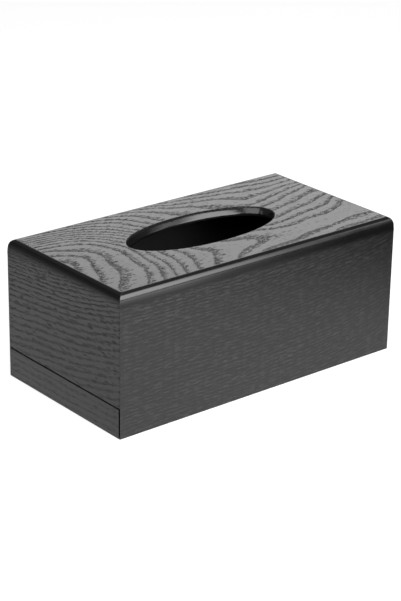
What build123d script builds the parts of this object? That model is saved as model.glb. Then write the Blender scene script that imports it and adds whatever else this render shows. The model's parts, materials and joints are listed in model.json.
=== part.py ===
"""Tissue box with a drawer: a mitred box of thin black ash veneered boards with an oval mouth in its top.

One end of the box is sawn through near its foot. The strip below the saw cut is the drawer's front, and the
drawer's floor slides in grooves along the inside of the two long sides.

Millimetres. X runs along the box, with the drawer's front at -X. Z is up. The origin is at the middle of the
box's foot, on the surface that it stands on.
"""

import os

from build123d import *

# The box outside
case_length = 260.0
case_width = 136.0
case_height = 108.5
side_thickness = 6.0  # each side board with its veneer
top_thickness = 6.0  # the top board with its veneer
veneer_thickness = 0.6
edge_radius = 4.9  # rounding along the four top edges

# The oval mouth, at its narrowest, how far its middle is from the box's middle, and the rounding of its rim
mouth_length = 124.8
mouth_width = 48.8
mouth_offset = -2.0
rim_radius = 4.5

# The drawer's front, sawn from the same end board
drawer_front_top = 22.5  # height of its top edge above the surface
saw_cut = 1.0  # gap between the drawer's front and the end board above it
mitre_gap = 0.9  # gap across each mitre beside the drawer's front
drawer_lift = 0.4  # the drawer hangs this far clear of the surface

# The drawer's floor and the groove that it slides in
floor_thickness = 3.0
groove_height = 4.0  # from the surface to the groove
groove_depth = 3.0
groove_play = 0.2  # clearance above and below the floor
groove_end_play = 0.4  # clearance between the floor's edges and the groove's bottom
tongue_length = 3.0  # how far the floor reaches into the drawer's front
tongue_thickness = 2.0
tongue_setback = 1.5  # the tongue stops this far inside the drawer front's narrow face

# The low walls that stand in shallow housings in the drawer's floor
wall_thickness = 3.0
wall_height = 13.3  # above the floor
wall_housing = 1.0  # depth of the housings
wall_play = 0.5  # clearance between a wall and the inside of the box
wall_edge_radius = 1.0

half_length = case_length / 2
half_width = case_width / 2
side_top = case_height - top_thickness
end_board_foot = drawer_front_top + saw_cut
veneer_plane = Plane.XY.offset(case_height - veneer_thickness)

inner_half_length = half_length - side_thickness
inner_half_width = half_width - side_thickness
groove_width = floor_thickness + 2 * groove_play
floor_foot = groove_height + groove_play
floor_top = floor_foot + floor_thickness
floor_reach = groove_depth - groove_end_play  # how far the floor's edges enter the grooves
floor_back = inner_half_length + floor_reach
floor_half_width = inner_half_width + floor_reach

made = []


def keep(builder, name):
    """Labels a finished piece and lists it to be written."""
    builder.part.label = name
    made.append(builder.part)


def side_plane(turn):
    """The plan of one side of the box, with that side at the plane's -Y."""
    return Plane.XY.rotated((0, 0, turn))


def mitred_plan(half_span, half_depth, start, stop, trim=0.0):
    """Outline of a mitred board, from depth start to depth stop below its show face, shortened by trim."""
    outer, inner = half_span - start - trim, half_span - stop - trim
    return [
        (-outer, start - half_depth),
        (outer, start - half_depth),
        (inner, stop - half_depth),
        (-inner, stop - half_depth),
    ]


def side_board(turn, half_span, half_depth, foot, top, start, stop, trim=0.0):
    """Adds one mitred layer of a side, between two heights, to the part being built."""
    with BuildSketch(side_plane(turn).offset(foot)) as plan:
        Polygon(*mitred_plan(half_span, half_depth, start, stop, trim), align=None)
    extrude(plan.sketch, amount=top - foot)


def cut_groove(turn, half_span, half_depth, height, width, depth):
    """Cuts a groove along the whole inner face of the side being built."""
    with BuildSketch(side_plane(turn).offset(height)) as plan:
        with Locations((0, side_thickness - depth / 2 - half_depth)):
            Rectangle(2 * half_span, depth)
    extrude(plan.sketch, amount=width, mode=Mode.SUBTRACT)


# Top board, rounded along its four upper edges and round the mouth's rim
with BuildPart() as top_panel:
    with BuildSketch(Plane.XY.offset(side_top)):
        Rectangle(case_length, case_width)
    extrude(amount=top_thickness)
    fillet(top_panel.faces().sort_by(Axis.Z)[-1].edges(), radius=edge_radius)
    with BuildSketch(Plane.XY.offset(side_top)):
        with Locations((mouth_offset, 0)):
            Ellipse(mouth_length / 2, mouth_width / 2)
    extrude(amount=top_thickness, mode=Mode.SUBTRACT)
    fillet(top_panel.faces().sort_by(Axis.Z)[-1].inner_wires()[0].edges(), radius=rim_radius)

with BuildPart() as top_board:
    add(top_panel.part)
    split(bisect_by=veneer_plane, keep=Keep.BOTTOM)
keep(top_board, "top_board")

with BuildPart() as top_veneer:
    add(top_panel.part)
    split(bisect_by=veneer_plane, keep=Keep.TOP)
keep(top_veneer, "top_veneer")

# The four sides: name, turn about Z, half of the length, distance to the show face, height of the foot
sides = [
    ("front", 0, half_length, half_width, 0.0),
    ("closed_end", 90, half_width, half_length, 0.0),
    ("back", 180, half_length, half_width, 0.0),
    ("drawer_end", -90, half_width, half_length, end_board_foot),
]
for name, turn, half_span, half_depth, foot in sides:
    with BuildPart() as board:
        side_board(turn, half_span, half_depth, foot, side_top, veneer_thickness, side_thickness)
        if foot < groove_height:
            cut_groove(turn, half_span, half_depth, groove_height, groove_width, groove_depth)
    keep(board, name + "_board")

    with BuildPart() as veneer:
        side_board(turn, half_span, half_depth, foot, side_top, 0.0, veneer_thickness)
    keep(veneer, name + "_veneer")

# The drawer's front, with its mitred ends trimmed for the gap, and a groove that holds the floor's tongue
drawer_turn = -90
mitre_trim = mitre_gap * 2**0.5
drawer_front_span = (drawer_turn, half_width, half_length, drawer_lift, drawer_front_top)

with BuildPart() as drawer_front_board:
    side_board(*drawer_front_span, veneer_thickness, side_thickness, mitre_trim)
    cut_groove(drawer_turn, half_width, half_length, floor_foot, tongue_thickness, tongue_length)
keep(drawer_front_board, "drawer_front_board")

with BuildPart() as drawer_front_veneer:
    side_board(*drawer_front_span, 0.0, veneer_thickness, mitre_trim)
keep(drawer_front_veneer, "drawer_front_veneer")

# The low walls' outlines on the drawer's floor: name, middle and size
wall_outside = inner_half_width - wall_play
wall_back = inner_half_length - wall_play
wall_row = wall_outside - wall_thickness / 2
long_wall = (inner_half_length + wall_back, wall_thickness)
long_wall_middle = (wall_back - inner_half_length) / 2
back_wall = (wall_thickness, 2 * (wall_outside - wall_thickness))
back_wall_middle = wall_back - wall_thickness / 2
walls = [
    ("drawer_near_wall", (long_wall_middle, -wall_row), long_wall, Axis.X),
    ("drawer_far_wall", (long_wall_middle, wall_row), long_wall, Axis.X),
    ("drawer_back_wall", (back_wall_middle, 0), back_wall, Axis.Y),
]

# The drawer's floor, with a thinner and narrower tongue at its front edge and housings for the walls
with BuildPart() as drawer_floor:
    with BuildSketch(Plane.XY.offset(floor_foot)):
        with Locations((-inner_half_length, 0)):
            Rectangle(inner_half_length + floor_back, 2 * floor_half_width, align=(Align.MIN, Align.CENTER))
    extrude(amount=floor_thickness)
    with BuildSketch(Plane.XY.offset(floor_foot)):
        with Locations((-inner_half_length, 0)):
            Rectangle(
                tongue_length,
                2 * (inner_half_width - mitre_trim - tongue_setback),
                align=(Align.MAX, Align.CENTER),
            )
    extrude(amount=tongue_thickness)
    with BuildSketch(Plane.XY.offset(floor_top)):
        for name, middle, size, grain in walls:
            with Locations(middle):
                Rectangle(*size)
    extrude(amount=-wall_housing, mode=Mode.SUBTRACT)
keep(drawer_floor, "drawer_floor")

# The drawer's low walls, rounded along their upper edges
for name, middle, size, grain in walls:
    with BuildPart() as wall:
        with BuildSketch(Plane.XY.offset(floor_top - wall_housing)):
            with Locations(middle):
                Rectangle(*size)
        extrude(amount=wall_housing + wall_height)
        fillet(wall.faces().sort_by(Axis.Z)[-1].edges().filter_by(grain), radius=wall_edge_radius)
    keep(wall, name)

os.makedirs("parts", exist_ok=True)
for part in made:
    export_step(part, f"parts/{part.label}.step")
    print(part.label, round(part.volume), "mm3")
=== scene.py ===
"""Looks of the tissue box with a drawer.

Thin boards faced with open-pored black ash veneer, with smooth painted edges.
"""

import json
import math

import bpy
import numpy as np
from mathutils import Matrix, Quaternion, Vector


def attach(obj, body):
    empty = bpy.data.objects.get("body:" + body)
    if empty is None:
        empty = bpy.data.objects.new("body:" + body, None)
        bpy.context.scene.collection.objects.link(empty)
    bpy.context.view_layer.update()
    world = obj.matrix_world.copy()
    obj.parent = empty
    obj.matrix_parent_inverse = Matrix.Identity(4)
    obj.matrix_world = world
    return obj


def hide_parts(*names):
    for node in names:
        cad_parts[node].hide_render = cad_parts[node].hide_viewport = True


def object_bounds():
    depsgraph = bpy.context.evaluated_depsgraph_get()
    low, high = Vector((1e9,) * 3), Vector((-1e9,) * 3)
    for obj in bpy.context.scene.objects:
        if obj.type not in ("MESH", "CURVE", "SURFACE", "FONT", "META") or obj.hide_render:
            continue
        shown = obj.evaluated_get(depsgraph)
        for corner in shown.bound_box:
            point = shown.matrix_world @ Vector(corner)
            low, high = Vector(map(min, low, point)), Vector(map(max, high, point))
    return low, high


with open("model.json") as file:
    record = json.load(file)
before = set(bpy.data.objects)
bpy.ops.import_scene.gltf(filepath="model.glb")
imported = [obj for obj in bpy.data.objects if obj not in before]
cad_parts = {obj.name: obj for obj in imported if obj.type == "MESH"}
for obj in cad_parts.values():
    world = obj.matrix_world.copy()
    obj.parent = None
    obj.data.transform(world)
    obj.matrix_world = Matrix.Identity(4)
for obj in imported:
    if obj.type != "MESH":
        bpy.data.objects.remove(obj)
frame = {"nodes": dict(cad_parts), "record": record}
cad_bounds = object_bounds()

mm = 0.001
half_length, half_width, case_height = cad_bounds[1]

# Easing of the arrises, and the mesh of the top veneer
arris_width = 0.22 * mm  # on the veneers, outside
inner_arris_width = 0.3 * mm  # on the drawer
arris_segments = 2
figure_step = 2.5 * mm  # spacing of the top veneer's mesh, which carries the figure

# The top's rounded edges and the sanding of their four corners
top_rounding = 4.9 * mm
top_thickness = 6.0 * mm
corner_sanding = 4.5 * mm  # width of it level with the flat of the top
corner_sanding_below = 0.9 * mm  # and at the foot of the rounded edges
corner_sanding_growth = 1.5  # how late it grows from the one to the other
corner_segments = 3

# The sanding of the upright faces, which lean in towards the rounded edges
sanded_from = 12.0 * mm  # below the top, where the lean starts
sanded_to = 4.0 * mm  # below the top, where it passes into the rounding
sanded_depth = 0.5 * mm  # how far the faces have leaned in there
sanded_levels = 8  # cuts that let the mesh follow the lean

# The mouth and its rim
mouth_middle = -2.0 * mm  # from the box's middle, along X
mouth_half_length, mouth_half_width = 66.9 * mm, 28.9 * mm  # outside the rim's rounding
rim_zone = 1.1  # vertices up to this far from the middle belong to the rim, in squares of the half sizes
rim_rounding = 4.5 * mm
rim_arc = 2.8 * mm  # the rim is sanded to a tighter arc, and from there to a slope
rim_slope = math.radians(56)
rim_slope_foot = 4.4 * mm  # below the top, where the slope ends
rim_sanding = 0.9 * mm  # how much wider than its drawing the mouth has been sanded, all round
rim_sanding_drift = Vector((0.35 * mm, 1.2 * mm))  # and how much more towards +X and +Y

skin = 1 * mm  # of the box's outside, in which the veneers and their joints lie

# How closely places and directions are compared
same_plane = 0.01 * mm
same_mitre = 0.05 * mm
same_point = 0.001 * mm
flat_angle = math.radians(0.5)  # faces that meet at less than this become one
edge_angle = math.radians(25)  # faces that meet at more than this have an arris between them
soft_angle = math.radians(35)  # edges that turn more than this stay crisp
level_normal = 0.9998  # a face with more than this of its normal along Z is level


# ---------------------------------------------------------------- selecting and shaping


def deselect_all():
    for thing in bpy.context.selected_objects:
        thing.select_set(False)


def make_active(piece):
    deselect_all()
    piece.select_set(True)
    bpy.context.view_layer.objects.active = piece


def in_edit_mode(piece, operator, **settings):
    """Runs one edit mode operator on what is selected in the piece."""
    make_active(piece)
    bpy.ops.object.mode_set(mode="EDIT")
    operator(**settings)
    bpy.ops.object.mode_set(mode="OBJECT")


def select_everything(piece):
    in_edit_mode(piece, bpy.ops.mesh.select_all, action="SELECT")


def select_arrises(piece, wanted):
    """Selects the edges whose two faces meet at an angle and whose ends are wanted."""
    make_active(piece)
    bpy.ops.object.mode_set(mode="EDIT")
    bpy.ops.mesh.select_mode(type="EDGE")
    bpy.ops.mesh.select_all(action="DESELECT")
    bpy.ops.object.mode_set(mode="OBJECT")
    mesh = piece.data
    normals_at = {}
    for face in mesh.polygons:
        for key in face.edge_keys:
            normals_at.setdefault(key, []).append(face.normal.copy())
    for edge in mesh.edges:
        normals = normals_at[edge.key]
        if len(normals) == 2 and normals[0].dot(normals[1]) < math.cos(edge_angle):
            start, end = (mesh.vertices[i].co for i in edge.vertices)
            edge.select = wanted(start, end)


def board_copy(node):
    """A copy of a CAD node's mesh with its loose triangles merged into whole faces."""
    mesh = frame["nodes"][node].data.copy()
    piece = bpy.data.objects.new(node + "_finished", mesh)
    bpy.context.scene.collection.objects.link(piece)
    select_everything(piece)
    in_edit_mode(piece, bpy.ops.mesh.customdata_custom_splitnormals_clear)
    in_edit_mode(piece, bpy.ops.mesh.remove_doubles, threshold=same_point)
    in_edit_mode(piece, bpy.ops.mesh.dissolve_limited, angle_limit=flat_angle)
    return piece


def ease_arrises(piece, width, wanted):
    """Rounds the wanted arrises of a piece a little, as sanding does."""
    select_arrises(piece, wanted)
    if any(edge.select for edge in piece.data.edges):
        easing = {"offset": width, "segments": arris_segments, "affect": "EDGES", "clamp_overlap": True}
        in_edit_mode(piece, bpy.ops.mesh.bevel, **easing)


def sand_corners(piece):
    """Rounds the mitred corners of the top's rounded edges, less towards their foot."""
    mesh = piece.data
    weights = mesh.attributes.new("bevel_weight_edge", "FLOAT", "EDGE")
    for edge in mesh.edges:
        ends = [mesh.vertices[i].co for i in edge.vertices]
        insets = [(half_length - abs(point.x), half_width - abs(point.y)) for point in ends]
        if all(abs(x - y) < same_mitre and x < top_rounding + same_mitre for x, y in insets):
            rise = (ends[0].z + ends[1].z) / 2 - (case_height - top_rounding)
            share = max(0.0, rise / top_rounding) ** corner_sanding_growth
            width = corner_sanding_below + (corner_sanding - corner_sanding_below) * share
            weights.data[edge.index].value = width / corner_sanding
    bevel = piece.modifiers.new("sanded_corners", "BEVEL")
    bevel.limit_method = "WEIGHT"
    bevel.width = corner_sanding
    bevel.segments = corner_segments
    make_active(piece)
    bpy.ops.object.modifier_apply(modifier=bevel.name)


def lean_in(below):
    """How far the sanding takes an upright face back, at a depth below the top."""
    if below > sanded_to:
        return sanded_depth * max(0.0, (sanded_from - below) / (sanded_from - sanded_to)) ** 2
    rise = 1 - below / sanded_to
    return sanded_depth * (1 + rise - 2 * rise**2)


def sand_faces(piece):
    """Leans the upright faces in below the rounded edges, where the sanding of these reaches down."""
    foot = case_height - sanded_from
    for i in range(sanded_levels):
        height = foot + i * (sanded_from - top_thickness) / sanded_levels
        select_everything(piece)
        in_edit_mode(piece, bpy.ops.mesh.bisect, plane_co=(0.0, 0.0, height), plane_no=(0.0, 0.0, 1.0))
    for vertex in piece.data.vertices:
        place = vertex.co
        lean = lean_in(case_height - place.z)
        for axis, reach in ((0, half_length), (1, half_width)):
            if abs(place[axis]) > reach - top_rounding:
                place[axis] -= math.copysign(lean, place[axis])


def sand_rim(piece):
    """Sands the mouth's rim back to a tight arc and a slope, and a little wider."""
    arc_foot = rim_arc * (1 - math.cos(rim_slope))
    for vertex in piece.data.vertices:
        place = vertex.co
        x, y = place.x - mouth_middle, place.y
        if (x / mouth_half_length) ** 2 + (y / mouth_half_width) ** 2 < rim_zone:
            outwards = Vector((x / mouth_half_length**2, y / mouth_half_width**2)).normalized()
            below = case_height - place.z
            drawn = math.sqrt(max(0.0, rim_rounding**2 - max(0.0, rim_rounding - below) ** 2))
            sanded = math.sqrt(max(0.0, rim_arc**2 - (rim_arc - min(below, arc_foot)) ** 2))
            sanded += max(0.0, min(below, rim_slope_foot) - arc_foot) / math.tan(rim_slope)
            width = rim_sanding + rim_sanding_drift.dot(outwards)
            back = max(0.0, drawn - sanded + width)
            place.x += outwards.x * back
            place.y += outwards.y * back


def cut_grid(piece, step):
    """Cuts a flat piece into cells along X and Y, so that its mesh can carry the growth rings."""
    for axis, reach in ((0, half_length), (1, half_width)):
        normal = [0.0, 0.0, 0.0]
        normal[axis] = 1.0
        for i in range(1 - int(reach / step), int(reach / step)):
            point = [0.0, 0.0, 0.0]
            point[axis] = i * step
            select_everything(piece)
            in_edit_mode(piece, bpy.ops.mesh.bisect, plane_co=point, plane_no=normal)


def smooth_finish(piece, material, edge_material=None):
    """Gives the piece its material and soft shading that leaves flat faces flat."""
    piece.data.materials.clear()
    piece.data.materials.append(material)
    if edge_material:
        piece.data.materials.append(edge_material)
        for face in piece.data.polygons:
            face.material_index = 0 if face.normal.z > level_normal else 1
    make_active(piece)
    bpy.ops.object.shade_smooth_by_angle(angle=soft_angle)
    weighted = piece.modifiers.new("even_faces", "WEIGHTED_NORMAL")
    weighted.keep_sharp = True
    weighted.weight = 100
    bpy.ops.object.modifier_apply(modifier=weighted.name)


# ---------------------------------------------------------------- the top's figure

# Growth rings of the top veneer, drawn from the heart outwards. Each is a few points that its dark
# line passes through, in millimetres from the drawer end and from the back edge.
growth_rings = [
    (0, [(8, 67)]),
    (1, [(7, 50), (18, 57.5), (22.5, 67), (18, 79), (10, 98), (5, 108)]),
    (2, [(8, 39), (22, 48.5), (32, 57.5), (34.5, 66), (30, 82), (20, 110), (10, 121)]),
    (3, [(9, 33), (27, 37), (42, 47), (49, 64), (48, 82), (43, 108), (34, 124)]),
    (4, [(9, 27.5), (30, 31), (48, 42), (57, 59), (58, 80), (54, 106), (45, 125)]),
    (5, [(9, 23), (32, 26.5), (49, 36), (60, 52), (64, 86), (61, 112), (55, 127)]),
    (6, [(9, 19.5), (34, 23.5), (53, 34), (66, 50), (72, 92), (70, 112), (64, 127)]),
    (7, [(9, 16), (37, 20.5), (57, 31), (69, 43), (84, 98), (82, 112), (75, 128)]),
    (8, [(9, 12.5), (40, 17), (62, 28.5), (74, 41), (96, 98), (102, 109), (90, 128)]),
    (9, [(9, 9), (44, 14), (67, 26), (78, 39), (123, 99), (139, 116.5), (112, 128)]),
    (9.4, [(175, 110), (208, 108)]),
    (10, [(12, 5), (48, 10.5), (72, 22), (83, 37), (160, 97), (212, 99.5), (238, 95), (255, 85)]),
    (10, [(255, 115), (220, 117.5), (180, 122), (140, 127)]),
    (11, [(40, 5), (66, 11), (82, 20), (91, 35), (172, 93), (210, 88.5), (240, 83), (255, 74)]),
    (11, [(255, 125), (215, 127)]),
    (12, [(64, 6), (84, 13), (95, 23), (101, 35), (190, 83.5), (222, 76), (255, 66)]),
    (13, [(80, 5), (98, 13), (106, 22), (112, 35), (197, 70), (226, 64), (255, 56)]),
    (14, [(92, 4), (110, 11), (121, 21), (131, 36), (197, 58.5), (227, 50), (255, 42)]),
    (15, [(104, 3), (128, 13), (148, 25), (158, 37), (195, 50.5), (226, 43), (255, 37)]),
    (16, [(118, 4), (140, 14.5), (168, 21.5), (183, 29), (193, 38), (216, 36), (255, 32)]),
    (17, [(130, 4.5), (160, 12.5), (190, 18.5), (213, 25), (235, 25.5), (255, 24)]),
    (18, [(152, 4), (185, 11), (215, 14.5), (255, 17)]),
    (19, [(190, 5), (225, 9), (255, 11)]),
]
ring_slack = 5.0  # lets the surface through the rings miss a point a little, so that it stays smooth
slope_step = 0.5  # distance over which a ring's slope is measured, in millimetres
least_square = 1e-9  # keeps the logarithm finite where two places are the same


def plate_bend(points, places):
    """How much a load at each point bends a thin plate at each place."""
    squares = ((places[:, None] - points[None]) ** 2).sum(axis=2)
    return 0.5 * squares * np.log(np.maximum(squares, least_square))


def flat_terms(places):
    """One, X and Y at each place, for the part of the plate that tilts without bending."""
    return np.c_[np.ones(len(places)), places]


def ring_numbers(places):
    """The growth ring number at each place on the top, from a thin plate bent through the rings."""
    points = np.array([point for number, line in growth_rings for point in line], float)
    numbers = np.array([number for number, line in growth_rings for point in line], float)
    count = len(points)
    system = np.zeros((count + 3, count + 3))
    system[:count, :count] = plate_bend(points, points) + ring_slack * np.eye(count)
    system[:count, count:] = flat_terms(points)
    system[count:, :count] = flat_terms(points).T
    weights = np.linalg.solve(system, np.r_[numbers, np.zeros(3)])
    return plate_bend(points, places) @ weights[:count] + flat_terms(places) @ weights[count:]


def store_rings(piece):
    """Keeps each vertex's ring number, its slope along the grain and the ring's width for the material."""
    mesh = piece.data
    places = np.array([((v.co.x + half_length) / mm, (half_width - v.co.y) / mm) for v in mesh.vertices])
    numbers = ring_numbers(places)
    along = (ring_numbers(places + (slope_step, 0.0)) - numbers) / (slope_step * mm)
    across = (ring_numbers(places + (0.0, slope_step)) - numbers) / (slope_step * mm)
    widths = 1 / np.hypot(along, across)
    for name, values in (("ring", numbers), ("ring_slope", along), ("ring_width", widths)):
        kept = mesh.attributes.new(name, "FLOAT", "POINT")
        kept.data.foreach_set("value", values.astype(np.float32))


# ---------------------------------------------------------------- shader helpers


def feed(tree, made, inputs):
    """Gives a node its inputs, which are values or the sockets that feed them."""
    for name, value in inputs.items():
        if isinstance(value, bpy.types.NodeSocket):
            tree.links.new(value, made.inputs[name])
        else:
            made.inputs[name].default_value = value


def add_node(tree, kind, inputs=None, **settings):
    made = tree.nodes.new("ShaderNode" + kind)
    for name, value in settings.items():
        setattr(made, name, value)
    feed(tree, made, inputs or {})
    return made


def calc(tree, operation, first, second=0.0, third=0.0, clamp=False):
    inputs = {0: first, 1: second, 2: third}
    return add_node(tree, "Math", inputs, operation=operation, use_clamp=clamp).outputs[0]


def product(tree, first, *others):
    for other in others:
        first = calc(tree, "MULTIPLY", first, other)
    return first


def total(tree, first, *others):
    for other in others:
        first = calc(tree, "ADD", first, other)
    return first


def ramp(tree, value, start, end, to_start=0.0, to_end=1.0, smooth=True):
    """Goes from to_start to to_end as the value goes from start to end."""
    kind = "SMOOTHSTEP" if smooth else "LINEAR"
    inputs = {"Value": value, "From Min": start, "From Max": end, "To Min": to_start, "To Max": to_end}
    return add_node(tree, "MapRange", inputs, interpolation_type=kind, clamp=True).outputs["Result"]


def blend_values(tree, factor, first, second):
    return add_node(tree, "Mix", {0: factor, 2: first, 3: second}, data_type="FLOAT").outputs[0]


def blend_colours(tree, factor, first, second):
    return add_node(tree, "Mix", {0: factor, 6: first, 7: second}, data_type="RGBA").outputs[2]


def grey(value, blue=1.0):
    """A neutral colour, slightly cool where blue is over 1."""
    return (value, value, value * blue, 1.0)


def object_place(tree):
    return add_node(tree, "TexCoord").outputs["Object"]


def split_axes(tree, place):
    return add_node(tree, "SeparateXYZ", {"Vector": place}).outputs


def new_group(name, inputs, outputs):
    """An empty shader group. Inputs map a name to its default value."""
    group = bpy.data.node_groups.new(name, "ShaderNodeTree")
    for label, value in inputs.items():
        kind = "NodeSocketVector" if isinstance(value, tuple) else "NodeSocketFloat"
        socket = group.interface.new_socket(label, in_out="INPUT", socket_type=kind)
        socket.default_value = value
    for label in outputs:
        group.interface.new_socket(label, in_out="OUTPUT", socket_type="NodeSocketFloat")
    return group, group.nodes.new("NodeGroupInput").outputs, group.nodes.new("NodeGroupOutput").inputs


def use_group(tree, group, inputs):
    made = tree.nodes.new("ShaderNodeGroup")
    made.node_tree = group
    feed(tree, made, inputs)
    return made.outputs


def stretched(tree, along, across, length, width, layer=0.0):
    """A place on the veneer, measured in lengths along the grain and widths across it."""
    lengths = calc(tree, "DIVIDE", along, length)
    widths = calc(tree, "DIVIDE", across, width)
    return add_node(tree, "CombineXYZ", {"X": lengths, "Y": widths, "Z": layer}).outputs[0]


def noise(tree, place, scale=1.0, detail=1.0, dimensions="2D"):
    inputs = {"Vector": place, "Scale": scale, "Detail": detail, "Roughness": 0.5}
    return add_node(tree, "TexNoise", inputs, noise_dimensions=dimensions).outputs["Fac"]


def sway(tree, along, across, length, width, detail=1.0):
    """A value that drifts to either side of nought, in waves of that length along the grain and width."""
    wave = noise(tree, stretched(tree, along, across, length, width), detail=detail)
    return calc(tree, "SUBTRACT", wave, 0.5)


# ---------------------------------------------------------------- shader groups

# A dash of pores, in its cell
dash_fade = (-0.03, 0.08)  # how softly it comes in, as the crowd passes its chance
dash_reach = (0.36, 0.6)  # how far it reaches from the middle, in cells
dash_floor = 0.35  # share of that reach where it is deepest
dash_depth = (0.6, 1.0)  # of the shallowest and the deepest

# The early wood, from a growth ring's start
start_fade = 0.25 * mm
end_fade = 1.1  # where it has ended, as a share of its reach
early_core, line_core = 0.7, 0.6  # share of the reach where the early wood and the line start to end
tooth_streaks = (0.35, 0.65)  # streaks that make the shortest and the longest teeth
shortest_tooth = 0.3
tuft_zone = (0.5, 1.2)  # where tufts thin out, as shares of the early wood's width


def make_straight_rings():
    """Ring numbers of a board whose grain runs nearly straight, closer together above a height.

    The rings drift by a few times Wander in long waves, and shiver by about as much as it in short ones.
    """
    drift_length, drift_width, drift_share = 90 * mm, 34 * mm, 4.0
    shiver_length, shiver_width, shiver_share = 22 * mm, 6 * mm, 1.4
    tree, given, result = new_group(
        "straight_rings",
        {
            "Along": 0.0,
            "Across": 0.0,
            "Spacing": 5 * mm,
            "Slope": 0.0,
            "Curve": 0.0,
            "Wander": 1 * mm,
            "Close From": 1.0,
            "Closing": 0.0,
            "Offset": 0.0,
        },
        ["Ring", "Ring Slope", "Ring Width"],
    )
    along, across = given["Along"], given["Across"]
    drift = sway(tree, along, across, drift_length, drift_width)
    drift = product(tree, drift, product(tree, given["Wander"], drift_share))
    shiver = sway(tree, along, across, shiver_length, shiver_width, detail=2.0)
    shiver = product(tree, shiver, product(tree, given["Wander"], shiver_share))
    slope = calc(tree, "MULTIPLY_ADD", along, given["Curve"], given["Slope"])
    tilted = calc(tree, "MULTIPLY_ADD", along, slope, across)
    place = total(tree, tilted, drift, shiver)
    above = calc(tree, "MAXIMUM", calc(tree, "SUBTRACT", place, given["Close From"]), 0.0)
    closer = product(tree, above, above, given["Closing"])
    ring = total(tree, calc(tree, "DIVIDE", place, given["Spacing"]), given["Offset"], closer)
    tree.links.new(ring, result["Ring"])

    turned = calc(tree, "MULTIPLY_ADD", product(tree, along, given["Curve"]), 2.0, given["Slope"])
    tree.links.new(calc(tree, "DIVIDE", turned, given["Spacing"]), result["Ring Slope"])

    per_metre = calc(tree, "DIVIDE", 1.0, given["Spacing"])
    per_metre = total(tree, per_metre, product(tree, above, 2.0, given["Closing"]))
    tree.links.new(calc(tree, "DIVIDE", 1.0, per_metre), result["Ring Width"])
    return tree


def add_cells(tree, place):
    """Scattered cells. Gives three chances for each, the distance from its middle and its middle's place."""
    inputs = {"Vector": place, "Scale": 1.0, "Randomness": 1.0}
    cell = add_node(tree, "TexVoronoi", inputs, voronoi_dimensions="2D")
    chances = add_node(tree, "SeparateColor", {"Color": cell.outputs["Color"]}).outputs
    return chances, cell.outputs["Distance"], cell.outputs["Position"]


def dashes(tree, chances, distance, crowd):
    """A rounded dash in each cell whose first chance is under crowd."""
    present = ramp(tree, calc(tree, "SUBTRACT", crowd, chances[0]), *dash_fade)
    reach = blend_values(tree, chances[1], *dash_reach)
    inside = ramp(tree, calc(tree, "DIVIDE", distance, reach), dash_floor, 1.0, 1.0, 0.0)
    depth = blend_values(tree, chances[2], *dash_depth)
    return product(tree, present, inside, depth)


def band(tree, beyond, reach, core):
    """One from a ring's start as far as reach, by the distance beyond the start."""
    start = ramp(tree, beyond, 0.0, start_fade)
    return product(tree, start, ramp(tree, calc(tree, "DIVIDE", beyond, reach), core, end_fade, 1.0, 0.0))


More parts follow.
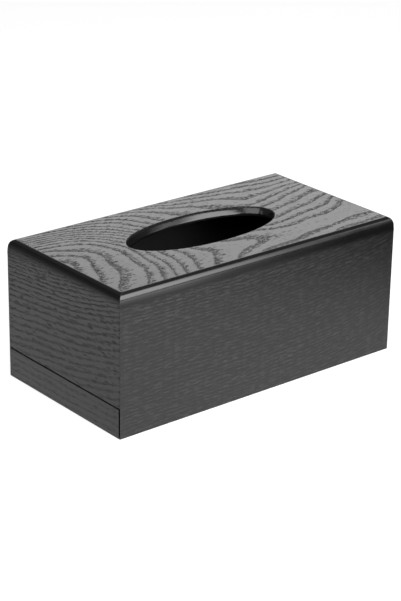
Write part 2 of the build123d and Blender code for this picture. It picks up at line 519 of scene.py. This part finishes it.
def make_ash_pores():
    """Open pores of ash: a line where each growth ring starts, then dashes along the grain that thin out.

    Band is the part of a ring's width that is early wood. Line is how marked the line is at its start.
    Crowd and Few are the shares of tufts that are there in the early wood and beyond it.
    """
    bow_length, bow_width, bow_reach = 45 * mm, 20 * mm, 4 * mm  # the grain bows this much to either side
    tooth_length, tooth_width, tooth_reach = 7 * mm, 0.8 * mm, 4 * mm  # the rings' starts are toothed
    line_width = 0.9 * mm
    pore_length, pore_width, pore_layer = 4.5 * mm, 0.4 * mm, 37.3
    pore_few, pore_crowd = 0.08, 0.7  # shares of single pores away from the tufts and among them
    fibre_length, fibre_width = 9 * mm, 0.25 * mm
    pore_depth, fibre_height = -0.3, 0.06  # set against a tuft's depth of 1
    tree, given, result = new_group(
        "ash_pores",
        {
            "Along": 0.0,
            "Across": 0.0,
            "Ring": 0.0,
            "Ring Slope": 0.0,
            "Ring Width": 5 * mm,
            "Band": 0.45,
            "Line": 1.0,
            "Crowd": 0.9,
            "Few": 0.08,
            "Tuft Length": 5 * mm,
            "Tuft Width": 1 * mm,
        },
        ["Pores", "Early", "Height"],
    )
    along, across = given["Along"], given["Across"]
    length, width = given["Tuft Length"], given["Tuft Width"]
    bow = sway(tree, along, across, bow_length, bow_width)
    bent = calc(tree, "MULTIPLY_ADD", bow, bow_reach, across)

    # The early wood, from each ring's toothed start
    streaks = noise(tree, stretched(tree, along, bent, tooth_length, tooth_width))
    jags = product(tree, calc(tree, "SUBTRACT", streaks, 0.5), tooth_reach)
    jags = calc(tree, "DIVIDE", jags, given["Ring Width"])
    phase = calc(tree, "FRACT", total(tree, given["Ring"], jags))
    beyond = product(tree, phase, given["Ring Width"])
    teeth = ramp(tree, streaks, *tooth_streaks, shortest_tooth, 1.0)
    band_width = product(tree, given["Band"], given["Ring Width"])
    early = band(tree, beyond, product(tree, band_width, teeth), early_core)
    line = product(tree, band(tree, beyond, line_width, line_core), given["Line"])

    # Tufts of pores, each whole: whether it is there goes by the ring at its middle
    tuft_place = stretched(tree, along, bent, length, width)
    chances, distance, middle = add_cells(tree, tuft_place)
    offset = add_node(tree, "VectorMath", {0: middle, 1: tuft_place}, operation="SUBTRACT").outputs[0]
    offset = split_axes(tree, offset)["X"]
    jump = product(tree, offset, length, given["Ring Slope"])
    phase = calc(tree, "FRACT", total(tree, given["Ring"], jump))
    near_start = ramp(tree, calc(tree, "DIVIDE", phase, given["Band"]), *tuft_zone, 1.0, 0.0)
    tufts = dashes(tree, chances, distance, blend_values(tree, near_start, given["Few"], given["Crowd"]))
    tufts = calc(tree, "MAXIMUM", tufts, line)

    # Single pores, most of them among the tufts
    pore_place = stretched(tree, along, bent, pore_length, pore_width, pore_layer)
    chances, distance, _ = add_cells(tree, pore_place)
    crowd = blend_values(tree, calc(tree, "MAXIMUM", tufts, early), pore_few, pore_crowd)
    pores = dashes(tree, chances, distance, crowd)

    fibre = noise(tree, stretched(tree, along, bent, fibre_length, fibre_width))
    height = calc(tree, "MULTIPLY_ADD", pores, pore_depth, product(tree, fibre, fibre_height))
    height = calc(tree, "SUBTRACT", height, tufts)
    tree.links.new(calc(tree, "MAXIMUM", pores, tufts), result["Pores"])
    tree.links.new(early, result["Early"])
    tree.links.new(height, result["Height"])
    return tree


def make_paint_ripple():
    """The slight waviness of a sprayed and rubbed paint film, and the cloudiness of its sheen."""
    waves_per_metre, clouds_per_metre = 260.0, 45.0
    tree, given, result = new_group("paint_ripple", {"Place": (0.0, 0.0, 0.0)}, ["Height", "Cloud"])
    wave = noise(tree, given["Place"], scale=waves_per_metre, detail=2.0, dimensions="3D")
    cloud = noise(tree, given["Place"], scale=clouds_per_metre, detail=3.0, dimensions="3D")
    tree.links.new(wave, result["Height"])
    tree.links.new(cloud, result["Cloud"])
    return tree


straight_rings = make_straight_rings()
ash_pores = make_ash_pores()
paint_ripple = make_paint_ripple()


# ---------------------------------------------------------------- materials

lacquer_ior = 1.5
land_grey, early_grey, filled_shade_grey = 0.009, 0.007, 0.005  # between the pores, early wood, and the filled band below the rounded edges, darker as painted shade
cool_tint = 1.04
paint_mottle = 0.2  # share by which the paint's colour varies to either side
clouds = (0.3, 0.7)  # range of the cloudiness over which the sheen changes
veneer_cloud, paint_cloud = 0.015, 0.03  # how much the sheen's roughness varies to either side
coat_roughness = 0.2  # of the lacquer that the pores hold
ripple_depth = 0.01 * mm
shaded_fill_from, shaded_fill_to = 13 * mm, 8 * mm  # below the top, where the paint starts to fill the pores and the painted shade starts to darken them, and where both are full


def new_material(name):
    material = bpy.data.materials.new(name)
    material.use_nodes = True
    tree = material.node_tree
    tree.nodes.clear()
    return material, tree


def finish_material(tree, shader):
    tree.links.new(shader.outputs[0], add_node(tree, "OutputMaterial").inputs["Surface"])


def cloudy_sheen(tree, cloud, roughness, spread):
    return ramp(tree, cloud, *clouds, roughness - spread, roughness + spread, smooth=False)


def board_rings(tree, along, across, ring):
    """Ring number, slope and width on a board, from its straight rings or, for None, from its mesh."""
    if ring is None:
        names = ("ring", "ring_slope", "ring_width")
        return [add_node(tree, "Attribute", attribute_name=name).outputs["Fac"] for name in names]
    straight = use_group(tree, straight_rings, {"Along": along, "Across": across, **ring})
    return [straight[name] for name in ("Ring", "Ring Slope", "Ring Width")]


def veneer_material(
    name, grain, ring, figure, depth, sheens, pore_and_glint_grey=0.004, gloss=0.0, sweep=0.0, filled_and_shaded=False
):
    """Black stained ash veneer.

    grain names the axes along it and across it. ring is None where the mesh carries the rings, or else the
    straight rings' values. sheens are the roughness of the land, the early wood and the pores. gloss is how
    much lacquer the pores hold, and sweep is how strongly the grain bends up towards +X. Where the filled
    band is asked for, the paint of the rounded edges fills the pores just below them. That band is also
    painted darker, as painted shade for the dark band that the lacquer mirrors there.
    """
    material, tree = new_material(name)
    place = object_place(tree)
    axes = split_axes(tree, place)
    along, across = axes[grain[0]], axes[grain[1]]
    if sweep:
        beyond = calc(tree, "MAXIMUM", along, 0.0)
        across = calc(tree, "MULTIPLY_ADD", product(tree, beyond, beyond), -sweep, across)
    number, slope, width = board_rings(tree, along, across, ring)
    growth = {"Along": along, "Across": across, "Ring": number, "Ring Slope": slope, "Ring Width": width}
    pores = use_group(tree, ash_pores, {**growth, **figure})
    early, opened, height = pores["Early"], pores["Pores"], pores["Height"]
    land = (grey(land_grey, cool_tint), grey(early_grey, cool_tint))
    if filled_and_shaded:
        # Below the rounded edges the pores are filled, and the colour is darkened as painted shade for the
        # dark band that the lacquer mirrors there.
        bare_unshaded = ramp(tree, axes["Z"], case_height - shaded_fill_from, case_height - shaded_fill_to, 1.0, 0.0)
        early, opened, height = (product(tree, mask, bare_unshaded) for mask in (early, opened, height))
        colour = blend_colours(tree, bare_unshaded, grey(filled_shade_grey), blend_colours(tree, early, *land))
    else:
        colour = blend_colours(tree, early, *land)
    # The pores' grey. The long sides set it lighter than the land, as painted glints for the light dashes
    # that their rims catch.
    colour = blend_colours(tree, opened, colour, grey(pore_and_glint_grey))
    cloud = use_group(tree, paint_ripple, {"Place": place})["Cloud"]
    roughness = blend_values(tree, early, cloudy_sheen(tree, cloud, sheens[0], veneer_cloud), sheens[1])
    roughness = blend_values(tree, opened, roughness, sheens[2])
    bump = add_node(tree, "Bump", {"Strength": 1.0, "Distance": depth, "Height": height})
    inputs = {"Base Color": colour, "Roughness": roughness, "Normal": bump.outputs[0], "IOR": lacquer_ior}
    if gloss:
        inputs["Coat Weight"] = product(tree, opened, gloss)
        inputs["Coat Roughness"] = coat_roughness
    finish_material(tree, add_node(tree, "BsdfPrincipled", inputs))
    return material


def paint_material(name, value, roughness):
    """Smooth satin black paint over sanded board whose pores the filler has closed."""
    material, tree = new_material(name)
    film = use_group(tree, paint_ripple, {"Place": object_place(tree)})
    darker, lighter = value * (1 - paint_mottle), value * (1 + paint_mottle)
    colour = blend_colours(tree, film["Cloud"], grey(darker), grey(lighter))
    sheen = cloudy_sheen(tree, film["Cloud"], roughness, paint_cloud)
    bump = add_node(tree, "Bump", {"Strength": 1.0, "Distance": ripple_depth, "Height": film["Height"]})
    inputs = {"Base Color": colour, "Roughness": sheen, "Normal": bump.outputs[0], "IOR": lacquer_ior}
    finish_material(tree, add_node(tree, "BsdfPrincipled", inputs))
    return material


top_figure = {"Band": 0.43, "Line": 0.6, "Crowd": 0.95, "Few": 0.03}
side_figure = {"Band": 0.45, "Line": 0.35, "Crowd": 0.75, "Few": 0.2}
side_figure.update({"Tuft Length": 9 * mm, "Tuft Width": 0.9 * mm})
end_figure = {"Band": 0.55, "Line": 0.2, "Crowd": 1.0, "Few": 0.12}
end_figure.update({"Tuft Length": 7 * mm, "Tuft Width": 1.2 * mm})
strip_figure = {**end_figure, "Line": 0.0, "Crowd": 0.65}

front_rings = {"Spacing": 2.8 * mm, "Wander": 1.5 * mm}
back_rings = {**front_rings, "Slope": -0.03, "Offset": 7.4}
end_rings = {"Spacing": 5.2 * mm, "Slope": 0.165, "Curve": -0.6, "Close From": 0.07, "Closing": 2900.0}
closed_end_rings = {**end_rings, "Slope": -0.12, "Curve": 0.4, "Offset": 3.3}
strip_rings = {"Spacing": 5.2 * mm, "Slope": 0.03, "Offset": 11.7}

top_finish = {"depth": 0.08 * mm, "sheens": (0.16, 0.2, 0.37)}
side_finish = {"depth": 0.04 * mm, "sheens": (0.15, 0.16, 0.26)}
# On the long sides the pores are painted lighter than the land. These are painted glints, for the light
# dashes that their rims catch from the lamps.
side_finish.update({"pore_and_glint_grey": 0.015, "gloss": 0.62, "filled_and_shaded": True})
end_finish = {"depth": 0.2 * mm, "sheens": (0.15, 0.28, 0.62)}
strip_finish = {**end_finish, "depth": 0.08 * mm}

black_paint = paint_material("black_paint", 0.005, 0.16)
inner_paint = paint_material("inner_paint", 0.012, 0.5)
materials = {
    "top_board": black_paint,
    "top_veneer": veneer_material("top_ash", "XY", None, top_figure, **top_finish),
    "front_veneer": veneer_material("front_ash", "XZ", front_rings, side_figure, sweep=0.9, **side_finish),
    "back_veneer": veneer_material("back_ash", "XZ", back_rings, side_figure, **side_finish),
    "drawer_end_veneer": veneer_material("drawer_end_ash", "YZ", end_rings, end_figure, **end_finish),
    "closed_end_veneer": veneer_material("closed_end_ash", "YZ", closed_end_rings, end_figure, **end_finish),
    "drawer_front_veneer": veneer_material(
        "drawer_front_ash", "YZ", strip_rings, strip_figure, **strip_finish
    ),
}


# ---------------------------------------------------------------- pieces


def on_show_face(start, end):
    """True for an edge that lies in one of the box's outer faces."""
    for axis, reach in ((0, half_length), (1, half_width)):
        if all(abs(abs(point[axis]) - reach) < same_plane for point in (start, end)):
            return True
    return False


def inside_the_box(start, end):
    """True for an edge that no veneer and no other board is glued against."""
    middle = (start + end) / 2
    return abs(middle.x) < half_length - skin and abs(middle.y) < half_width - skin


def finished_board(node, body):
    """The piece that stands for a CAD node: sanded, its arrises eased, and in its material."""
    piece = board_copy(node)
    edge_material = None
    if node.startswith("top_"):
        sand_corners(piece)
        sand_rim(piece)
    if node.endswith("_veneer") or node == "top_board":
        sand_faces(piece)
    if node == "top_veneer":
        edge_material = black_paint
        cut_grid(piece, figure_step)
        store_rings(piece)
    elif node.endswith("_veneer"):
        ease_arrises(piece, arris_width, on_show_face)
    elif body == "drawer":
        ease_arrises(piece, inner_arris_width, inside_the_box)
    smooth_finish(piece, materials.get(node, inner_paint), edge_material)
    return piece


bodies = frame["record"]["behaviour"]["bodies"]

for body, nodes in bodies.items():
    for node in nodes:
        piece = finished_board(node, body)
        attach(piece, body)
        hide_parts(node)


# ---------------------------------------------------------------- floor and surroundings

floor_size = 12.0
floor_grey = 0.3
floor_glow = 0.85  # what the camera sees of the floor besides the lamps' light on it
fill_brightness = 0.15  # of the surroundings, on matt surfaces

# What the lacquer mirrors of the floor and of the surroundings. Each is a range of places in metres, or of
# heights from 0 at the horizon to 1 overhead, and then the brightness, or the share of it, at its two ends.
near_pool_middle = -0.1  # along X
near_pool = (0.24, 0.53, 1.15, 0.01)  # by the distance from its middle
near_pool_beyond_end = (-0.131, -0.129, 0.78, 1.0)  # share that is left beyond the drawer end, by X
near_pool_rightwards = (-0.03, 0.14, 1.0, 0.86)  # share that is left towards the closed end, by X
end_pool = (-0.4, -0.15, 0.3, 0.0)  # by X
end_pool_beyond = (-0.52, -0.42, 0.6, 0.0)  # by X
end_shade = (-0.385, -0.305, 0.42, 1.0)  # share of all pools that is left, by X
far_pool = (-0.22, 0.06, 1.8, 0.0)  # by the distance sideways, as the long side mirrors it
far_pool_left = (-0.125, -0.08, 1.6, 0.0)  # by the distance sideways
far_pool_start = (0.26, 0.52)  # by the distance ahead
far_pool_aim = (0.638, -0.77)  # direction ahead, in which the long side mirrors the camera's sight
mirrored_sky = (0.2, 0.6, 0.015, 0.18)  # by the height


def mirrored_rays(tree, rays):
    """One for what is seen in or through a glossy surface."""
    return calc(tree, "ADD", rays["Is Glossy Ray"], rays["Is Transmission Ray"], clamp=True)


def floor_pools(tree, place):
    """How bright the floor looks in the lacquer, at each place on it."""
    x, y = place["X"], place["Y"]
    from_middle = calc(tree, "ADD", x, -near_pool_middle)
    square = calc(tree, "MULTIPLY_ADD", y, y, product(tree, from_middle, from_middle))
    near = ramp(tree, calc(tree, "SQRT", square), *near_pool)
    near = product(tree, near, ramp(tree, x, *near_pool_beyond_end), ramp(tree, x, *near_pool_rightwards))
    end = total(tree, ramp(tree, x, *end_pool), ramp(tree, x, *end_pool_beyond))
    aim_x, aim_y = far_pool_aim
    sideways = calc(tree, "MULTIPLY_ADD", y, aim_x, product(tree, x, -aim_y))
    ahead = calc(tree, "MULTIPLY_ADD", y, aim_y, product(tree, x, aim_x))
    far = total(tree, ramp(tree, sideways, *far_pool), ramp(tree, sideways, *far_pool_left))
    far = product(tree, far, ramp(tree, ahead, *far_pool_start))
    return product(tree, total(tree, near, far, end), ramp(tree, x, *end_shade))


def add_floor():
    """A pale floor, white to the camera, which the lacquer mirrors as pools of light. Clear from below."""
    bpy.ops.mesh.primitive_plane_add(size=floor_size)
    floor = bpy.context.active_object
    floor.name = "floor"
    material, tree = new_material("pale_floor")
    place = split_axes(tree, object_place(tree))
    beside = calc(tree, "GREATER_THAN", calc(tree, "ABSOLUTE", place["X"]), half_length)
    before = calc(tree, "GREATER_THAN", calc(tree, "ABSOLUTE", place["Y"]), half_width)
    outside = calc(tree, "MAXIMUM", beside, before)
    rays = add_node(tree, "LightPath").outputs
    glow = product(tree, rays["Is Camera Ray"], floor_glow, outside)
    seen = add_node(tree, "Emission", {"Color": grey(1.0), "Strength": glow})
    matt = add_node(tree, "BsdfDiffuse", {"Color": grey(floor_grey)})
    lit = add_node(tree, "AddShader", {0: seen.outputs[0], 1: matt.outputs[0]})
    pools = product(tree, floor_pools(tree, place), outside)
    mirrored = add_node(tree, "Emission", {"Color": grey(1.0), "Strength": pools})
    shaders = {0: mirrored_rays(tree, rays), 1: lit.outputs[0], 2: mirrored.outputs[0]}
    above = add_node(tree, "MixShader", shaders)
    below = add_node(tree, "BsdfTransparent")
    backface = add_node(tree, "NewGeometry").outputs["Backfacing"]
    shaders = {0: backface, 1: above.outputs[0], 2: below.outputs[0]}
    finish_material(tree, add_node(tree, "MixShader", shaders))
    floor.data.materials.append(material)


def add_world():
    """White where the camera looks, darker where the lacquer mirrors it, and a soft fill."""
    world = bpy.data.worlds.new("studio")
    bpy.context.scene.world = world
    world.use_nodes = True
    tree = world.node_tree
    tree.nodes.clear()
    rays = add_node(tree, "LightPath").outputs
    height = split_axes(tree, add_node(tree, "TexCoord").outputs["Generated"])["Z"]
    sky = ramp(tree, height, *mirrored_sky)
    strength = blend_values(tree, mirrored_rays(tree, rays), fill_brightness, sky)
    strength = blend_values(tree, rays["Is Camera Ray"], strength, 1.0)
    background = add_node(tree, "Background", {"Color": grey(1.0), "Strength": strength})
    tree.links.new(background.outputs[0], add_node(tree, "OutputWorld").inputs["Surface"])


# ---------------------------------------------------------------- lamps and camera

# Name, bearing and elevation in degrees, distance, width and height in metres, and brightness. Bearing 0 is
# in front of the long side, and 90 is beyond the drawer's end.
softboxes = [
    ("left_softbox", 48, 48, 1.3, 0.9, 1.0, 2.8),
    ("end_softbox", 93, 34, 1.4, 0.25, 0.75, 1.2),
    ("right_softbox", -52, 22, 1.5, 0.22, 0.74, 1.9),
    ("right_softbox_edge", -60, 22, 1.5, 0.2, 0.74, 0.6),
    ("left_back_softbox", 143, 9, 1.5, 0.6, 0.45, 0.15),
    ("back_softbox", -140, 20.5, 5.0, 1.6, 1.35, 1.85),
    ("overhead_softbox", -60, 82, 1.4, 0.9, 0.9, 1.6),
]

# The softbox in front of the long side, in upright strips that fade to the right
front_softbox_aim = (-20, 29, 1.25)  # bearing, elevation and distance
front_softbox_height = 0.9
front_softbox_strips = [  # name, brightness, and where it starts and ends sideways in metres
    ("front_softbox", 6.8, -0.6, 0.3),
    ("front_softbox_edge", 5.6, 0.3, 0.34),
    ("front_softbox_fringe", 4.4, 0.34, 0.38),
    ("front_softbox_fade", 3.2, 0.38, 0.42),
    ("front_softbox_wane", 2.0, 0.42, 0.46),
    ("front_softbox_end", 0.9, 0.46, 0.52),
]

# The camera of the photograph, from the box's edges in it
camera_place = Vector((-0.8431, -1.0143, 0.5955))
camera_bearing, camera_elevation = 39.638, 22.462
camera_roll = 0.0167
camera_lens = 113.58


def direction_to(bearing, elevation):
    """The direction from the box to a bearing and an elevation in degrees."""
    turn, rise = math.radians(bearing), math.radians(elevation)
    return Vector((-math.sin(turn) * math.cos(rise), -math.cos(turn) * math.cos(rise), math.sin(rise)))


def add_softbox(name, bearing, elevation, distance, width, height, brightness, slide=0.0):
    """A soft light aimed at the box, slid sideways where it is one strip of a larger one."""
    light = bpy.data.lights.new(name, "AREA")
    light.shape = "RECTANGLE"
    light.size, light.size_y = width, height
    light.energy = brightness * math.pi * width * height
    lamp = bpy.data.objects.new(name, light)
    bpy.context.scene.collection.objects.link(lamp)
    turn = math.radians(bearing)
    direction = direction_to(bearing, elevation)
    sideways = Vector((math.cos(turn), -math.sin(turn), 0.0)) * slide
    lamp.location = Vector((0, 0, case_height / 2)) + direction * distance + sideways
    lamp.rotation_mode = "QUATERNION"
    lamp.rotation_quaternion = direction.to_track_quat("Z", "Y")


def add_camera():
    camera = bpy.data.objects.new("camera", bpy.data.cameras.new("camera"))
    bpy.context.scene.collection.objects.link(camera)
    sight = -direction_to(camera_bearing, camera_elevation)
    camera.location = camera_place
    camera.rotation_mode = "QUATERNION"
    camera.rotation_quaternion = sight.to_track_quat("-Z", "Y") @ Quaternion((0, 0, 1), camera_roll)
    camera.data.lens = camera_lens
    bpy.context.scene.camera = camera


add_floor()
add_world()
for name, brightness, left, right in front_softbox_strips:
    size = (right - left, front_softbox_height)
    add_softbox(name, *front_softbox_aim, *size, brightness, slide=(left + right) / 2)
for softbox in softboxes:
    add_softbox(*softbox)
add_camera()

scene = bpy.context.scene
scene.view_settings.view_transform = "Standard"
